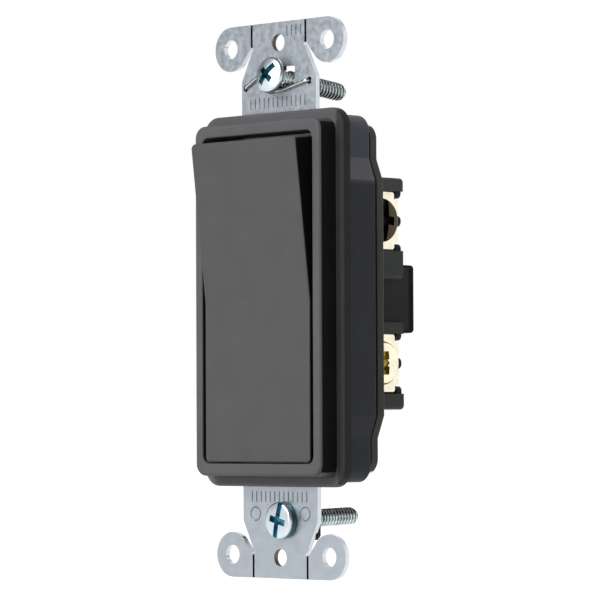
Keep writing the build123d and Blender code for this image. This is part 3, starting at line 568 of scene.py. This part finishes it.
# The thread's section: slope of its flanks and the share of the depth that is cut flat
FLANK_SLOPE = 1.6
FLANK_FLAT = 0.3
TIP_LENGTH = 2.3
TIP_END_R = 0.35
TIP_CURVE = 2.2
SEGMENTS = 48
RINGS_PER_TURN = 8
THREAD_TOP = -0.05
SHANK_TOP = -0.02
HEAD_EDGE = 0.12
SHOULDER_STEPS = 6
CROWN_PARTS = (0.75, 0.5, 0.25)
ARM_DROP = 0.1
MIDDLE_DROP = 0.25
SHARP_ANGLE = 32


def thread_radius(height, angle, tip, crest):
    """Radius of the thread at a height and angle, rounded to a point at the tip, in mm."""
    phase = (height / PITCH - angle / (2 * math.pi)) % 1.0
    wave = min(1.0, max(0.0, FLANK_SLOPE * abs(2 * phase - 1) - FLANK_FLAT))
    bare = max(0.0, 1 - (height - tip) / TIP_LENGTH)
    cut_in = THREAD_DEPTH * (1 - wave) * (1 - bare)
    return crest - cut_in - (crest - TIP_END_R) * bare ** TIP_CURVE


def head_rows(shape):
    """Heights and radii up a pan head: side, rounded shoulder and crown."""
    head_r, side = shape.head_r, shape.side
    rows = [(0.0, head_r - HEAD_EDGE), (HEAD_EDGE, head_r), (side, head_r)]
    rise = shape.thick - shape.crown - side
    for step in range(1, SHOULDER_STEPS + 1):
        angle = math.radians(90 * step / SHOULDER_STEPS)
        rows.append((side + rise * math.sin(angle), head_r - rise * (1 - math.cos(angle))))
    flat = rows[-1][1]
    for part in CROWN_PARTS:
        rows.append((shape.thick - shape.crown * part * part, flat * part))
    return rows


def screw_rings(shape):
    """Rings of radii from the tip up the thread, the neck and the head, each with its height."""
    rings = []
    height = shape.tip
    while height < THREAD_TOP:
        limit = shape.neck_crest if height > -shape.neck else shape.crest
        turns = (2 * math.pi * step / SEGMENTS for step in range(SEGMENTS))
        rings.append((height, [thread_radius(height, turn, shape.tip, limit) for turn in turns]))
        height += PITCH / RINGS_PER_TURN
    for height, radius in head_rows(shape):
        rings.append((height, [radius] * SEGMENTS))
    return rings


def lathe(name, rings, top, tip):
    """Closed mesh through rings of radii round Z, with a point at the top and at the tip."""
    verts = [(0, 0, tip)]
    for height, radii in rings:
        for step, radius in enumerate(radii):
            angle = 2 * math.pi * step / SEGMENTS
            verts.append((radius * math.cos(angle), radius * math.sin(angle), height))
    verts.append((0, 0, top))
    faces = []
    for step in range(SEGMENTS):
        following = (step + 1) % SEGMENTS
        faces.append((0, 1 + following, 1 + step))
        for ring in range(len(rings) - 1):
            low, high = 1 + ring * SEGMENTS, 1 + (ring + 1) * SEGMENTS
            faces.append((low + step, low + following, high + following, high + step))
        last = 1 + (len(rings) - 1) * SEGMENTS
        faces.append((last + step, last + following, len(verts) - 1))
    mesh = bpy.data.meshes.new(name)
    mesh.from_pydata(verts, [], faces)
    piece = bpy.data.objects.new(name, mesh)
    bpy.context.scene.collection.objects.link(piece)
    return piece


def box_cutter(length, width, low, high, turn, mat):
    """Bar across the head, for a slot or one pair of recess arms."""
    a, b = length / 2, width / 2
    spin = Matrix.Rotation(math.radians(turn), 4, "Z")
    base = ((-a, -b), (a, -b), (a, b), (-a, b))
    verts = [spin @ Vector((x, y, z)) for z in (low, high) for x, y in base]
    faces = [(3, 2, 1, 0), (4, 5, 6, 7), (0, 1, 5, 4), (1, 2, 6, 5), (2, 3, 7, 6), (3, 0, 4, 7)]
    mesh = bpy.data.meshes.new("cutter")
    mesh.from_pydata(verts, [], faces)
    mesh.materials.append(mat)
    cutter = bpy.data.objects.new("cutter", mesh)
    bpy.context.scene.collection.objects.link(cutter)
    return cutter


def cut(piece, cutter):
    """Take the cutter away from the piece; the new faces keep the cutter's material."""
    step = piece.modifiers.new("cut", "BOOLEAN")
    step.operation = "DIFFERENCE"
    step.solver = "EXACT"
    step.material_mode = "TRANSFER"
    step.object = cutter
    bpy.context.view_layer.update()
    graph = bpy.context.evaluated_depsgraph_get()
    mesh = bpy.data.meshes.new_from_object(piece.evaluated_get(graph))
    piece.modifiers.clear()
    piece.data = mesh
    bpy.data.objects.remove(cutter)


def finish_screw(mesh, shape, mats):
    """Head, thread, root and side finishes on a screw before its recess is cut; the darker root and
    side finishes are painted shade.
    """
    for mat in mats:
        mesh.materials.append(mat)
    for face in mesh.polygons:
        away = math.hypot(face.center.x, face.center.y)
        if face.center.z < SHANK_TOP:
            threaded = shape.tip + 0.4 * TIP_LENGTH < face.center.z < -shape.neck
            # Thread roots take the root finish, painted shade where darker than the thread
            in_root = threaded and away < shape.crest - 0.5 * THREAD_DEPTH
            face.material_index = 2 if in_root else 1
        elif face.center.z < shape.rim:
            # The head's side band, painted shade where its finish is darker than the head
            face.material_index = 3


def make_screw(name, shape, recess, finishes):
    """Threaded screw that takes a CAD screw's place, standing on its joint's axis."""
    joint = joints[name + "_turn"]
    piece = lathe(name + "_detail", screw_rings(shape), shape.thick, shape.tip)
    # The slot and cross finishes are painted shade where darker than the head
    *shown, slot_mat, recess_mat = (materials[finish] for finish in finishes)
    finish_screw(piece.data, shape, shown)
    floor = shape.thick - recess.depth
    above = shape.thick + 1
    bars = (
        (recess.length, recess.width, floor, recess.turn, slot_mat),
        (recess.arm_length, recess.arm_width, floor - ARM_DROP, recess.turn + 90, recess_mat),
        (recess.middle, recess.middle, floor - MIDDLE_DROP, recess.turn + 45, recess_mat),
    )
    for length, width, low, turn, mat in bars:
        cut(piece, box_cutter(length, width, low, above, turn, mat))
    outward = -Vector(joint["axis"]).normalized()
    right = Vector((0, 0, 1)).cross(outward).normalized()
    turned = Matrix((right, outward.cross(right), outward)).transposed().to_4x4()
    seat = Matrix.Translation(Vector(joint["pos_m"]))
    piece.data.transform(seat @ turned @ Matrix.Scale(MM, 4))
    for face in piece.data.polygons:
        face.use_smooth = True
    piece.data.set_sharp_from_angle(angle=math.radians(SHARP_ANGLE))
    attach(piece, joint["child"])
    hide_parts(name)


for screw_name, (shape, recess, finishes) in SCREWS.items():
    make_screw(screw_name, shape, recess, finishes)

add_camera()
add_world()
add_floor()
for light_name, (place, side, power) in LIGHTS.items():
    add_light(light_name, place, side, power)
